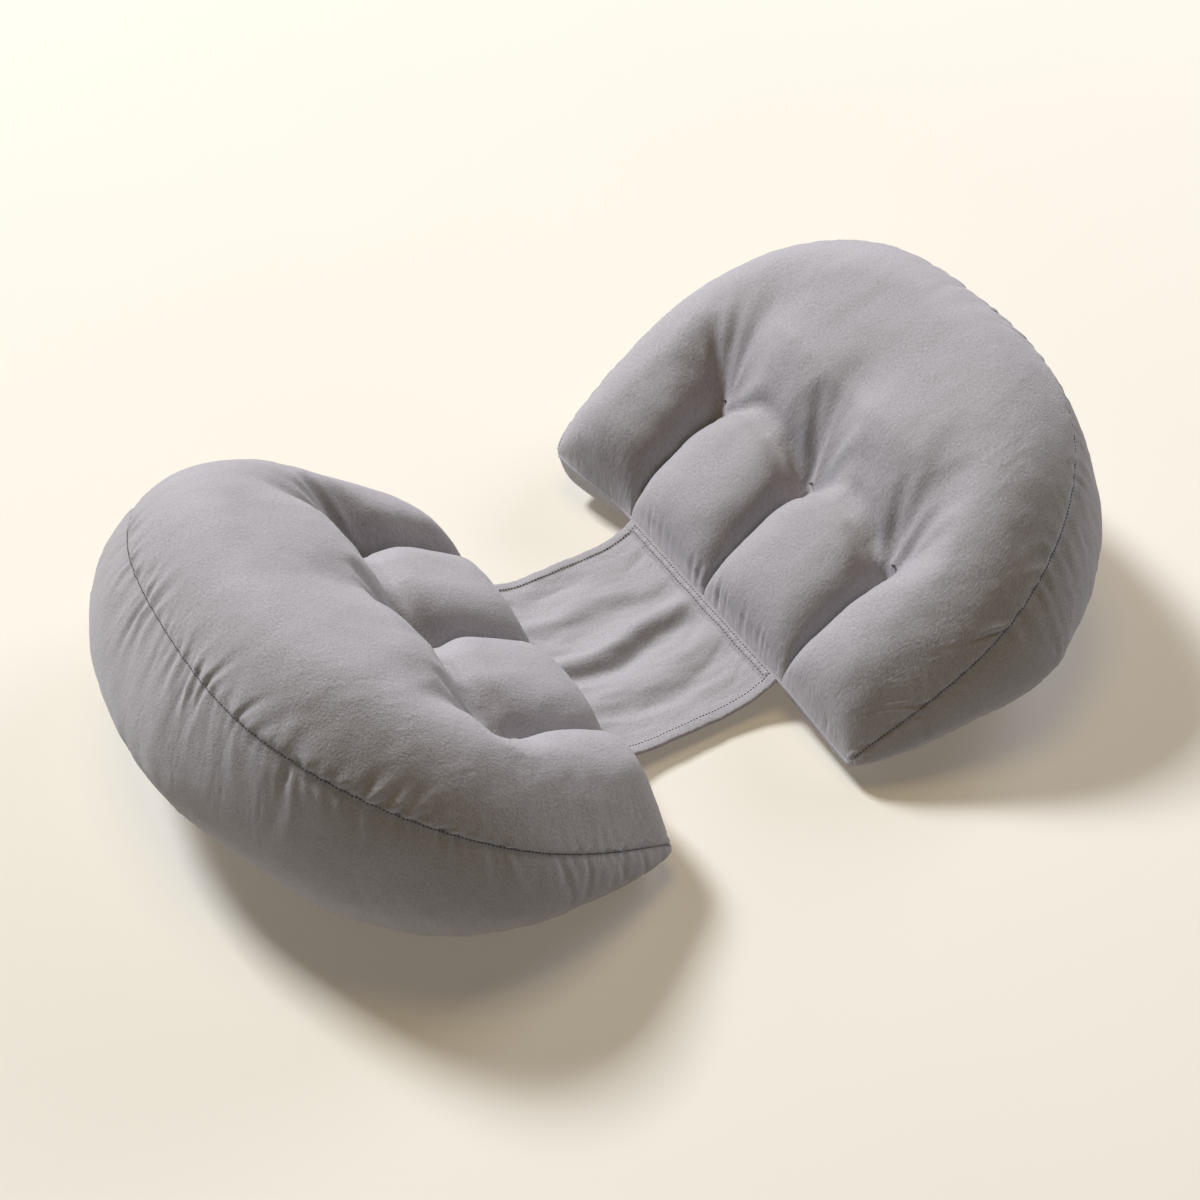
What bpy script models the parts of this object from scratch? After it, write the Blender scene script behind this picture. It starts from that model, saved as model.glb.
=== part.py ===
"""Pregnancy wedge pillow: two D-shaped filled cushions joined by a flat hemmed waist panel.

+X runs from the left cushion to the right one, +Y to the far tips, +Z up, all in metres.
Each cushion is a wedge: thin along its straight front seam, deep round its sewn arc, where a
gusset joins the top cloth to the bottom cloth. Three stitched channels run in from the front
seam and part it into four fingers.
"""
import math

import bmesh
import bpy
from mathutils import Matrix

# ---- plan of a cushion, measured from the middle of its front seam ----
HALF_FRONT = 0.184          # half the straight front seam
CUSHION_DEPTH = 0.258       # front seam to the arc seam
ARC_CENTRE = 0.084          # centre of the arc, out from the front seam
ARC_SQUARENESS = 2.7        # 2 is an ellipse, more is squarer
FRONT_SEAM_X = 0.071        # each front seam, out from the middle of the pillow
FLARE_REACH = 0.130         # a tip that wanders in or out pulls the filling this far back

# ---- seams and sides ----
FRONT_SEAM_Z = 0.028
APEX_SEAM_Z = 0.188         # top seam at the deepest point of the arc
WEDGE_POWER = 0.88          # how the top seam climbs from tip to apex
NEAR_LIFT = 0.002           # the arc seam stands this much higher along the near outer finger
NEAR_LIFT_START = 0.090
NEAR_LIFT_REACH = 0.060
BOTTOM_SEAM_Z = 0.016
BOTTOM_INSET = 0.0255       # the bottom seam is drawn in under the gusset
GUSSET_BULGE = 0.0515       # how far the filled gusset swells out past its seams
GUSSET_SHARE = 0.45         # low sides swell by this share of their height
GUSSET_SAG = 0.80           # under one, the filling sags so that the gusset swells most below its middle
GUSSET_ROUND = 1.7          # two is a round gusset, less falls straighter from its seam
NEAR_BULGE_REACH = 0.120    # the near half of a gusset may be filled more or less than the far half
SEAM_LIP = 0.0032           # thickness of the sewn front edge

# ---- filling ----
CROWN_BODY = 0.0625         # the thick C-shaped ring, above the wedge plane
CROWN_FINGER = 0.037        # the two middle fingers
CROWN_OUTER = 0.045         # the two outer fingers
ARC_ROLL = 0.076            # the top rolls over to the arc seam in this width
TIP_ROLL = 0.039            # tighter towards the tips
SWELL = 2.4                 # two is a round pillow edge, more is fuller
FRONT_ROLL = 0.026          # and to the front seam in this one
FRONT_OVERHANG = 0.006      # outer fingers bulge out over their own seam
MIDDLE_OVERHANG = 0.0035    # and middle ones less
RING_START = 0.087          # the ring rises behind the middle fingers from here
RING_RISE = 0.040           # over this much
OUTER_START = 0.050         # and more gently behind the outer fingers
OUTER_RISE = 0.115
WIDER_MIDDLE = 0.105        # a side that is filled wider swells most this far back
WIDER_REACH = 0.075
WIDER_START = 0.095         # the stitched channels stay where they are, only what is outside them moves

# ---- channels ----
CHANNEL_Y = 0.103           # outer channels, either side of the middle one
CHANNEL_LENGTH = 0.086
MIDDLE_CHANNEL_EXTRA = 0.008
CHANNEL_WIDTH = 0.044       # cloth drawn down this far either side
CHANNEL_SWELL = 1.6         # it climbs less steeply from the inner end, in a dimple
CHANNEL_DIMPLE = 0.040      # over this much of the channel
CHANNEL_TAIL = 0.80         # the dimple past a channel end, as a share of its width
CHANNEL_DROP = 0.016        # stitch line below the wedge plane at the inner end
CHANNEL_GAP = 0.0035        # cloth and filling left in the stitch line
VALLEY_DEPTH = 0.017        # soft valley that runs on past each channel end
VALLEY_WIDTH = 0.023
VALLEY_LENGTH = 0.100
TUFT_CREASE = 0.014         # soft crease from one channel end to the next
TUFT_CREASE_WIDTH = 0.015
TUFT_CREASE_BOW = 0.007     # it bows back by this between them

# ---- waist panel ----
PANEL_HALF_WIDTH = 0.100    # as wide as the two middle fingers
PANEL_THICKNESS = 0.0020
PANEL_HEM = 0.009           # turned and stitched along both long edges
PANEL_HEM_EXTRA = 0.0008    # the hem is this much thicker
PANEL_SAG = 0.014
PANEL_DROP = 4              # two is an even curve, more drops beside the seams and lies flat between
PANEL_CLEARANCE = 0.0003    # between the panel's ends and the front seams

# side | facing | tip_near_z | tip_far_z | flare_near | flare_far | wider_near | wider_far | fullness | lean
#     | near_bulge
CUSHIONS = (
    ("left", -1, 0.022, 0.036, 0.005, 0.036, 0.015, 0.0, 1.02, 0.060, 0.66),
    ("right", 1, 0.020, 0.040, 0.001, -0.017, 0.0135, 0.018, 0.946, 0.058, 0.88),
)

# lines run from front seam to arc: share of one finger, from one channel to the next
FINGER_LINES = (0.0, 0.07, 0.22, 0.50, 0.78, 0.93)
OUTER_LINES = (0.0, 0.08, 0.24, 0.44, 0.62, 0.78, 0.89, 0.96)
# stations along a line, from front seam to arc seam
STATIONS = (0.0, 0.02, 0.07, 0.14, 0.22, 0.29, 0.335, 0.38, 0.44, 0.53, 0.64, 0.76, 0.87, 0.95, 1.0)
CHANNEL_STATIONS = 6        # stations reached by a stitched channel
CHANNEL_CREASE = 0.9
SEAM_CREASE = 0.5
SIDE_CUTS = 3

# where a channel's line meets the arc, as a share of the turn from apex to tip
CHANNEL_ARC_SHARE = 0.315


def smooth(t):
    t = min(max(t, 0.0), 1.0)
    return t * t * (3.0 - 2.0 * t)


def swell(t, fullness=SWELL):
    """Rises from nought at a seam, steep first, level from one onward."""
    t = min(max(t, 0.0), 1.0)
    return (1.0 - (1.0 - t) ** fullness) ** (1.0 / fullness)


def roll_over(t):
    t = min(max(t, 0.0), 1.0)
    return 1.0 - (1.0 - t) ** 2


ARC_REACH = CUSHION_DEPTH - ARC_CENTRE
ARC_HALF = HALF_FRONT / (1.0 - (ARC_CENTRE / ARC_REACH) ** ARC_SQUARENESS) ** (1.0 / ARC_SQUARENESS)
TIP_TURN = math.pi - math.atan2(HALF_FRONT, ARC_CENTRE)


def arc_share(x, y):
    """One on the arc seam, less inside it."""
    along = abs(x - ARC_CENTRE) / ARC_REACH
    across = abs(y) / ARC_HALF
    return (along ** ARC_SQUARENESS + across ** ARC_SQUARENESS) ** (1.0 / ARC_SQUARENESS)


def arc_point(turn):
    """Point on the arc seam; turn runs from -1 at the near tip to 1 at the far tip."""
    angle = turn * TIP_TURN
    reach = 1.0 / arc_share(ARC_CENTRE + math.cos(angle), math.sin(angle))
    return ARC_CENTRE + reach * math.cos(angle), reach * math.sin(angle)


def line_list():
    """Pairs of shares, on the front seam and on the arc, for every line from tip to tip."""
    channel = CHANNEL_Y / HALF_FRONT
    half = []
    for share in FINGER_LINES:
        half.append((channel * share, CHANNEL_ARC_SHARE * share))
    for share in OUTER_LINES:
        half.append((channel + (1.0 - channel) * share,
                     CHANNEL_ARC_SHARE + (1.0 - CHANNEL_ARC_SHARE) * share))
    near = [(-front, -arc) for front, arc in reversed(half[1:])]
    return near + half


def tip_blend(y):
    return smooth((abs(y) - CHANNEL_Y) / (HALF_FRONT - CHANNEL_Y))


def flared_x(x, y, cushion):
    """The front seam wanders in or out towards a tip, and the filling beside it follows."""
    flare = cushion[5] if y > 0.0 else cushion[4]
    return x + flare * tip_blend(y) * (1.0 - smooth(x / FLARE_REACH))


def front_z(y, cushion):
    tip_z = cushion[3] if y > 0.0 else cushion[2]
    return FRONT_SEAM_Z + (tip_z - FRONT_SEAM_Z) * tip_blend(y)


def wedge_z(x, y, cushion):
    """The plane that the top seams lie in."""
    low = front_z(y, cushion)
    run = min(max(x / CUSHION_DEPTH, 0.0), 1.0)
    return low + (APEX_SEAM_Z - low) * run ** WEDGE_POWER


def near_lift(x, y):
    """How far the arc seam is lifted where the near outer finger is filled wider."""
    return NEAR_LIFT * smooth((-y - NEAR_LIFT_START) / NEAR_LIFT_REACH) * smooth(x / NEAR_LIFT_REACH)


def channel_line(index, x):
    """How far across a channel lies: straight from the front seam towards its point on the arc."""
    ax, ay = arc_point(CHANNEL_ARC_SHARE)
    return index * (CHANNEL_Y + (ay - CHANNEL_Y) * x / ax)


def channel_pull(x, y, width):
    """What is left of the filling beside the stitched channels: none in them, all of it away."""
    left = 1.0
    for index in (-1, 0, 1):
        length = CHANNEL_LENGTH + (MIDDLE_CHANNEL_EXTRA if index == 0 else 0.0)
        past = max(x - length, 0.0) / CHANNEL_TAIL
        away = math.hypot(y - channel_line(index, x), past)
        fullness = SWELL + (CHANNEL_SWELL - SWELL) * smooth((x - length + CHANNEL_DIMPLE) / CHANNEL_DIMPLE)
        left *= swell(away / width, fullness)
    return left


def valley(x, y):
    """Soft valleys in the ring, each running on outward from a channel end."""
    depth = 0.0
    for index in (-1, 0, 1):
        past = (x - CHANNEL_LENGTH) / VALLEY_LENGTH
        if 0.0 < past < 1.0:
            across = (y - channel_line(index, x)) / VALLEY_WIDTH
            depth += VALLEY_DEPTH * (1.0 - smooth(past)) * smooth(past * 8.0) * math.exp(-across * across)
    return depth


def channel_z(x, y, cushion):
    reach = min(max(x / CHANNEL_LENGTH, 0.0), 1.6)
    return wedge_z(x, y, cushion) - CHANNEL_DROP * reach


def top_z(x, y, cushion):
    inside = (1.0 - arc_share(x, y)) * ARC_HALF
    base = wedge_z(x, y, cushion)
    outer = smooth((abs(y) - CHANNEL_Y + 0.010) / 0.030)
    finger = CROWN_FINGER + (CROWN_OUTER - CROWN_FINGER) * outer
    start = RING_START + (OUTER_START - RING_START) * outer
    rise = RING_RISE + (OUTER_RISE - RING_RISE) * outer
    crown = finger + (CROWN_BODY - finger) * smooth((x - start) / rise)
    rolling = TIP_ROLL + (ARC_ROLL - TIP_ROLL) * smooth(x / 0.16)
    lift = near_lift(x, y)
    crown = lift + (cushion[8] * crown - lift) * roll_over(inside / rolling)
    crown *= swell(x / FRONT_ROLL)
    between = 1.0 - smooth((abs(y) - CHANNEL_Y + 0.02) / 0.03)
    bow = TUFT_CREASE_BOW * (1.0 - min(abs(abs(y) / CHANNEL_Y - 0.5) * 2.0, 1.0) ** 2)
    crease = TUFT_CREASE * between * math.exp(-((x - CHANNEL_LENGTH - bow) / TUFT_CREASE_WIDTH) ** 2)
    full = base + crown - crease - valley(x, y)
    stitched = channel_z(x, y, cushion)
    return stitched + (full - stitched) * channel_pull(x, y, CHANNEL_WIDTH)


def bottom_z(x, y, cushion):
    inside = (1.0 - arc_share(x, y)) * ARC_HALF
    low = front_z(y, cushion) - SEAM_LIP
    tip = tip_blend(y)
    seam = BOTTOM_SEAM_Z + (low - BOTTOM_SEAM_Z) * max(1.0 - x / 0.08, 0.0) * tip
    rim = seam * (1.0 - roll_over(inside / 0.045))
    front = low * (1.0 - swell(x / 0.045))
    resting = max(rim, front)
    stitched = channel_z(x, y, cushion) - CHANNEL_GAP
    return stitched + (resting - stitched) * channel_pull(x, y, CHANNEL_WIDTH * 0.92)


def cushion_point(front, arc, station, level, cushion):
    """A cage point: level is 1 on the top cloth, 0 on the bottom and between on the sides."""
    facing = cushion[1]
    ax, ay = arc_point(arc)
    y0 = front * HALF_FRONT
    x = ax * station
    y = y0 + (ay - y0) * station
    rim = station > 0.999
    inset = BOTTOM_INSET * smooth(station * 1.3 - 0.3) * smooth(x / 0.10)
    span = math.hypot(x - ARC_CENTRE, y)
    bx = x - inset * (x - ARC_CENTRE) / max(span, 1e-6)
    by = y - inset * y / max(span, 1e-6)
    if rim:
        low_z = front_z(y, cushion) - SEAM_LIP
        zt = max(wedge_z(ax, ay, cushion), low_z + SEAM_LIP) + near_lift(ax, ay)
        zb = BOTTOM_SEAM_Z + (low_z - BOTTOM_SEAM_Z) * (1.0 - smooth(ax / 0.09))
    else:
        zt = top_z(x, y, cushion)
        zb = bottom_z(bx, by, cushion)
    if station < 0.001:
        zt = front_z(y, cushion)
        zb = zt - SEAM_LIP
    px = bx + (x - bx) * level
    py = by + (y - by) * level
    pz = zb + (zt - zb) * level
    if 0.0 < level < 1.0:
        height = zt - zb
        swelling = min(GUSSET_SHARE * height, cushion[8] * GUSSET_BULGE * swell(height / 0.10))
        swelling *= 1.0 - abs(2.0 * level ** GUSSET_SAG - 1.0) ** GUSSET_ROUND
        swelling *= 1.0 + (cushion[10] - 1.0) * smooth(-y / NEAR_BULGE_REACH)
        if rim:
            px += swelling * (x - ARC_CENTRE) / span
            py += swelling * y / span
        elif station < 0.001:
            px -= swelling
        else:
            py += math.copysign(swelling, y)
    if station > 0.001:
        ahead = x / 0.014
        between = max(math.sin(math.pi * min(abs(y0) / CHANNEL_Y, 1.0)), 0.0)
        over = max(FRONT_OVERHANG * tip_blend(y0 * 1.25), MIDDLE_OVERHANG * between ** 0.5)
        px -= over * ahead * math.exp(1.0 - ahead) * level
    wider = cushion[7] if py > 0.0 else cushion[6]
    wider *= smooth((abs(py) - WIDER_START) / (HALF_FRONT - WIDER_START))
    py += math.copysign(wider, py) * math.exp(-((px - WIDER_MIDDLE) / WIDER_REACH) ** 2)
    px = flared_x(px, py, cushion)
    py += cushion[9] * px
    return facing * (FRONT_SEAM_X + px), py, pz


def face_outwards(shell):
    bmesh.ops.recalc_face_normals(shell, faces=shell.faces[:])
    if shell.calc_volume(signed=True) < 0.0:
        bmesh.ops.reverse_faces(shell, faces=shell.faces[:])


def cushion_object(cushion, material, collection):
    lines = line_list()
    middle = len(lines) // 2
    channel_lines = (middle - len(FINGER_LINES), middle, middle + len(FINGER_LINES))
    mesh = bpy.data.meshes.new("cushion_" + cushion[0])
    cage = bmesh.new()
    bmesh.ops.create_grid(cage, x_segments=len(lines) - 1, y_segments=len(STATIONS) - 1, size=1.0)
    for vert in cage.verts:
        vert.co.x = round((vert.co.x + 1.0) * 0.5 * (len(lines) - 1))
        vert.co.y = round((vert.co.y + 1.0) * 0.5 * (len(STATIONS) - 1))
        vert.co.z = 1.0
    grown = bmesh.ops.extrude_face_region(cage, geom=cage.faces[:])
    lowered = [item for item in grown["geom"] if isinstance(item, bmesh.types.BMVert)]
    bmesh.ops.translate(cage, verts=lowered, vec=(0.0, 0.0, -1.0))
    sides = [edge for edge in cage.edges if abs(edge.verts[0].co.z - edge.verts[1].co.z) > 0.5]
    bmesh.ops.subdivide_edges(cage, edges=sides, cuts=SIDE_CUTS, use_grid_fill=True)
    crease = cage.edges.layers.float.new("crease_edge")
    cage.edges.index_update()
    stitched = {}
    for edge in cage.edges:
        a, b = (vert.co.copy() for vert in edge.verts)
        along = abs(a.x - b.x) < 0.1 and abs(a.z - b.z) < 0.1
        channel = along and round(a.x) in channel_lines and max(a.y, b.y) < CHANNEL_STATIONS + 0.5
        rim = a.y == b.y == len(STATIONS) - 1 and a.z == b.z and a.z in (0.0, 1.0)
        if channel:
            stitched[edge.index] = CHANNEL_CREASE
        elif rim:
            stitched[edge.index] = SEAM_CREASE
    for vert in cage.verts:
        front, arc = lines[round(vert.co.x)]
        vert.co = cushion_point(front, arc, STATIONS[round(vert.co.y)], vert.co.z, cushion)
    face_outwards(cage)
    for edge in cage.edges:
        edge[crease] = stitched.get(edge.index, 0.0)
    for face in cage.faces:
        face.smooth = True
    cage.to_mesh(mesh)
    cage.free()
    item = bpy.data.objects.new("cushion_" + cushion[0], mesh)
    collection.objects.link(item)
    item.data.materials.append(material)
    soften = item.modifiers.new("Soften", "SUBSURF")
    soften.levels = 1
    soften.render_levels = 1
    return item


def panel_object(material, collection):
    """A hemmed strip that sags a little between the two front seams, with two soft folds."""
    columns = 15
    half_length = FRONT_SEAM_X - PANEL_CLEARANCE - SEAM_LIP * GUSSET_SHARE
    rows = (-1.0, -0.965, -0.913, -0.905, -0.6, -0.35, -0.12, 0.10, 0.3, 0.55, 0.75, 0.905, 0.913, 0.965, 1.0)
    mesh = bpy.data.meshes.new("waist_panel")
    cloth = bmesh.new()
    bmesh.ops.create_grid(cloth, x_segments=columns - 1, y_segments=len(rows) - 1, size=1.0)
    for vert in cloth.verts:
        vert.co.y = rows[round((vert.co.y + 1.0) * 0.5 * (len(rows) - 1))]
        vert.co.z = 1.0
    grown = bmesh.ops.extrude_face_region(cloth, geom=cloth.faces[:])
    lowered = [item for item in grown["geom"] if isinstance(item, bmesh.types.BMVert)]
    bmesh.ops.translate(cloth, verts=lowered, vec=(0.0, 0.0, -2.0))
    for vert in cloth.verts:
        along, across, side = vert.co
        hem = smooth((abs(across) * PANEL_HALF_WIDTH - PANEL_HALF_WIDTH + PANEL_HEM) / 0.001)
        thick = 0.5 * PANEL_THICKNESS + 0.5 * PANEL_HEM_EXTRA * hem
        middle = FRONT_SEAM_Z - SEAM_LIP * 0.5 - PANEL_SAG * (1.0 - abs(along) ** PANEL_DROP)
        fold = 0.0035 * math.exp(-((across + 0.05 + 0.04 * along) / 0.10) ** 2)
        fold -= 0.0025 * math.exp(-((across - 0.25) / 0.12) ** 2)
        fold *= 1.0 - abs(along) ** 3
        vert.co = (along * half_length, across * PANEL_HALF_WIDTH, middle + fold + side * thick)
    face_outwards(cloth)
    cloth.to_mesh(mesh)
    cloth.free()
    item = bpy.data.objects.new("waist_panel", mesh)
    collection.objects.link(item)
    item.data.materials.append(material)
    return item


def stand_centred(collection):
    """Moves the whole pillow so that the middle of its outline is over the origin, on the floor."""
    bpy.context.view_layer.update()
    graph = bpy.context.evaluated_depsgraph_get()
    corners = [corner for item in collection.objects for corner in item.evaluated_get(graph).bound_box]
    low = [min(corner[axis] for corner in corners) for axis in range(3)]
    high = [max(corner[axis] for corner in corners) for axis in range(3)]
    shift = (-0.5 * (low[0] + high[0]), -0.5 * (low[1] + high[1]), -low[2])
    for item in collection.objects:
        item.data.transform(Matrix.Translation(shift))


def fabric(name, colour, roughness):
    material = bpy.data.materials.new(name)
    material.use_nodes = True
    shader = material.node_tree.nodes["Principled BSDF"]
    shader.inputs["Base Color"].default_value = (*colour, 1.0)
    shader.inputs["Roughness"].default_value = roughness
    return material


for item in list(bpy.data.objects):
    bpy.data.objects.remove(item, do_unlink=True)

pillow = bpy.data.collections.new("pregnancy_wedge_pillow")
bpy.context.scene.collection.children.link(pillow)

for row in CUSHIONS:
    cloth = fabric("cushion_cotton_" + row[0], (0.42, 0.39, 0.40), 0.92)
    cushion_object(row, cloth, pillow)
panel_object(fabric("panel_cotton", (0.43, 0.40, 0.41), 0.92), pillow)
stand_centred(pillow)
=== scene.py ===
import math
import random
import time

import bpy
from mathutils import Matrix, Vector, noise


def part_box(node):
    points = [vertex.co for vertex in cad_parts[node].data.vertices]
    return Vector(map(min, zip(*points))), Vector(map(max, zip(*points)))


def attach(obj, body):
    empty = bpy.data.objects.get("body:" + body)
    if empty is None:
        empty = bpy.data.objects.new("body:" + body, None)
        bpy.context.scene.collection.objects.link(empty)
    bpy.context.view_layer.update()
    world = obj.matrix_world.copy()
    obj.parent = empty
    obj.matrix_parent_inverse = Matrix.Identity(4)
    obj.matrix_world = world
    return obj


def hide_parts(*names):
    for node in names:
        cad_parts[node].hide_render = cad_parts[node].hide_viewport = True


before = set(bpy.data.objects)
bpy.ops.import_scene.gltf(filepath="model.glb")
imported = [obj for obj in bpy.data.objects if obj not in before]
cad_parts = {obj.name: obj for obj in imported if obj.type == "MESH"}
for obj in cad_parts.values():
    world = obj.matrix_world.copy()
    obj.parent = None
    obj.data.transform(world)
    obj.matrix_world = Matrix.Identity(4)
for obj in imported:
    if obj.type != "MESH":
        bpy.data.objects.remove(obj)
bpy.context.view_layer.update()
startTime = time.time()


def report(words):
    print("pillow %5.1f s: %s" % (time.time() - startTime, words))


def deselectAll():
    for thing in bpy.context.selected_objects:
        thing.select_set(False)


def makeActive(piece):
    deselectAll()
    piece.select_set(True)
    bpy.context.view_layer.objects.active = piece


def startEdit():
    bpy.ops.object.mode_set(mode="EDIT")
    bpy.ops.mesh.select_all(action="SELECT")


def endEdit():
    bpy.ops.object.mode_set(mode="OBJECT")


def newObject(name, data):
    made = bpy.data.objects.new(name, data)
    bpy.context.scene.collection.objects.link(made)
    return made


def faceAlong(holder, direction):
    # lights and cameras look along their own -Z
    holder.rotation_mode = "QUATERNION"
    holder.rotation_quaternion = direction.to_track_quat("-Z", "Y")


def clamp(value, low=0.0, high=1.0):
    return min(max(value, low), high)


def smooth(t):
    t = clamp(t)
    return t * t * (3.0 - 2.0 * t)


# two is a round pillow edge, more is fuller
fullEdge = 2.4


def swell(t, fullness=fullEdge):
    # steep away from a seam, level from one on
    return (1.0 - (1.0 - clamp(t)) ** fullness) ** (1.0 / fullness)


def rollOver(t):
    return 1.0 - (1.0 - clamp(t)) ** 2


def bell(t):
    return math.exp(-t * t)


# the cut and the filling of one cushion, in metres from the middle of its front seam
cushion = {
    # plan
    "halfFront": 0.184,
    "depth": 0.258,
    "arcCentre": 0.084,
    "arcSquareness": 2.7,
    "frontSeamX": 0.071,
    "flareReach": 0.130,
    # seams and gusset
    "frontSeamZ": 0.028,
    "apexSeamZ": 0.188,
    "wedgePower": 0.88,
    "seamLip": 0.0032,
    "nearLift": 0.002,
    "nearLiftStart": 0.090,
    "nearLiftReach": 0.060,
    "bottomSeamZ": 0.016,
    "bottomTipReach": 0.080,
    "bottomRimReach": 0.090,
    "bottomInset": 0.0255,
    "bottomInsetReach": 0.100,
    "bottomRoll": 0.045,
    "gussetBulge": 0.0515,
    "gussetShare": 0.45,
    "gussetFullHeight": 0.100,
    "gussetSag": 0.80,
    "gussetRound": 1.7,
    "nearBulgeReach": 0.120,
    # crown of the top cloth
    "crownBody": 0.0625,
    "crownFinger": 0.037,
    "crownOuter": 0.045,
    "outerBlend": 0.030,
    "arcRoll": 0.076,
    "tipRoll": 0.039,
    "rollReach": 0.160,
    "frontRoll": 0.026,
    "frontOverhang": 0.006,
    "middleOverhang": 0.0035,
    "overhangPeak": 0.014,
    "ringStart": 0.087,
    "ringRise": 0.040,
    "outerStart": 0.050,
    "outerRise": 0.115,
    "widerStart": 0.095,
    "widerMiddle": 0.105,
    "widerReach": 0.075,
    # stitched channels, and what the filling does behind them
    "channelY": 0.103,
    "channelLength": 0.086,
    "middleExtra": 0.008,
    "channelWidth": 0.044,
    "channelUnder": 0.92,
    "channelTail": 0.80,
    "channelDrop": 0.016,
    "channelSwell": 1.6,
    "channelDimple": 0.040,
    "channelGap": 0.0035,
    "valleyDepth": 0.017,
    "valleyWidth": 0.023,
    "valleyLength": 0.100,
    "tuftCrease": 0.014,
    "tuftCreaseWidth": 0.015,
    "tuftCreaseBow": 0.007,
    # lines of the cloth from tip to tip, and rows from the front seam to the arc
    "channelArcShare": 0.315,
    "middleColumns": 56,
    "outerColumns": 72,
    "outerEnd": 0.984,
    "rows": 72,
    "sideRows": 20,
}

# how each cushion lies: facing, heights of its tips, how far they wander, fullness and lean
cushionRows = {
    "left": {"facing": -1, "nearTipZ": 0.022, "farTipZ": 0.036, "nearFlare": 0.005, "farFlare": 0.036,
             "nearWider": 0.015, "farWider": 0.0, "fullness": 1.02, "lean": 0.060, "nearBulge": 0.66},
    "right": {"facing": 1, "nearTipZ": 0.020, "farTipZ": 0.040, "nearFlare": 0.001, "farFlare": -0.017,
              "nearWider": 0.0135, "farWider": 0.018, "fullness": 0.946, "lean": 0.058, "nearBulge": 0.88},
}

panelLow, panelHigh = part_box("waist_panel")
middleX = 0.5 * (panelLow[0] + panelHigh[0])
middleY = 0.5 * (panelLow[1] + panelHigh[1])
c = cushion
arcReach = c["depth"] - c["arcCentre"]
squareness = c["arcSquareness"]
arcHalf = c["halfFront"] / (1.0 - (c["arcCentre"] / arcReach) ** squareness) ** (1.0 / squareness)
tipTurn = math.pi - math.atan2(c["halfFront"], c["arcCentre"])


def arcShare(x, y):
    along = abs(x - c["arcCentre"]) / arcReach
    across = abs(y) / arcHalf
    return (along ** squareness + across ** squareness) ** (1.0 / squareness)


def arcPoint(turn):
    angle = turn * tipTurn
    reach = 1.0 / arcShare(c["arcCentre"] + math.cos(angle), math.sin(angle))
    return c["arcCentre"] + reach * math.cos(angle), reach * math.sin(angle)


def tipBlend(y):
    return smooth((abs(y) - c["channelY"]) / (c["halfFront"] - c["channelY"]))


def flaredX(x, y, row):
    flare = row["farFlare"] if y > 0.0 else row["nearFlare"]
    return x + flare * tipBlend(y) * (1.0 - smooth(x / c["flareReach"]))


def frontZ(y, row):
    tip = row["farTipZ"] if y > 0.0 else row["nearTipZ"]
    return c["frontSeamZ"] + (tip - c["frontSeamZ"]) * tipBlend(y)


def wedgeZ(x, y, row):
    low = frontZ(y, row)
    return low + (c["apexSeamZ"] - low) * clamp(x / c["depth"]) ** c["wedgePower"]


def nearLift(x, y):
    # the arc seam stands a little higher along the near outer finger
    reach = c["nearLiftReach"]
    return c["nearLift"] * smooth((-y - c["nearLiftStart"]) / reach) * smooth(x / reach)


def channelLine(index, x):
    # straight from the front seam towards its own point of the arc
    ax, ay = arcPoint(c["channelArcShare"])
    return index * (c["channelY"] + (ay - c["channelY"]) * x / ax)


def channelEnd(index):
    return c["channelLength"] + (c["middleExtra"] if index == 0 else 0.0)


def channelPull(x, y, width):
    # what is left of the filling beside the channels: none in them, all of it away from them
    left = 1.0
    for index in (-1, 0, 1):
        past = max(x - channelEnd(index), 0.0) / c["channelTail"]
        dimple = smooth((x - channelEnd(index) + c["channelDimple"]) / c["channelDimple"])
        fullness = fullEdge + (c["channelSwell"] - fullEdge) * dimple
        left *= swell(math.hypot(y - channelLine(index, x), past) / width, fullness)
    return left


def valley(x, y):
    # soft valleys that run on outward from the channel ends
    past = (x - c["channelLength"]) / c["valleyLength"]
    if not 0.0 < past < 1.0:
        return 0.0
    across = sum(bell((y - channelLine(index, x)) / c["valleyWidth"]) for index in (-1, 0, 1))
    return c["valleyDepth"] * (1.0 - smooth(past)) * smooth(past * 8.0) * across


def creaseBehind(y):
    # how far behind the channel ends the crease between them bows
    finger = (abs(y) / c["channelY"] - 0.5) * 2.0
    return c["tuftCreaseBow"] * (1.0 - min(abs(finger), 1.0) ** 2)


def channelZ(x, y, row):
    return wedgeZ(x, y, row) - c["channelDrop"] * clamp(x / c["channelLength"], 0.0, 1.6)


def topZ(x, y, row):
    inside = (1.0 - arcShare(x, y)) * arcHalf
    outer = smooth((abs(y) - c["channelY"]) / c["outerBlend"] + 1.0 / 3.0)
    finger = c["crownFinger"] + (c["crownOuter"] - c["crownFinger"]) * outer
    start = c["ringStart"] + (c["outerStart"] - c["ringStart"]) * outer
    rise = c["ringRise"] + (c["outerRise"] - c["ringRise"]) * outer
    crown = finger + (c["crownBody"] - finger) * smooth((x - start) / rise)
    rolling = c["tipRoll"] + (c["arcRoll"] - c["tipRoll"]) * smooth(x / c["rollReach"])
    lift = nearLift(x, y)
    crown = lift + (row["fullness"] * crown - lift) * rollOver(inside / rolling)
    crown *= swell(x / c["frontRoll"])
    between = 1.0 - smooth((abs(y) - c["channelY"]) / c["outerBlend"] + 2.0 / 3.0)
    behind = c["channelLength"] + creaseBehind(y)
    crease = c["tuftCrease"] * between * bell((x - behind) / c["tuftCreaseWidth"])
    full = wedgeZ(x, y, row) + crown - crease - valley(x, y)
    stitched = channelZ(x, y, row)
    return stitched + (full - stitched) * channelPull(x, y, c["channelWidth"])


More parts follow.
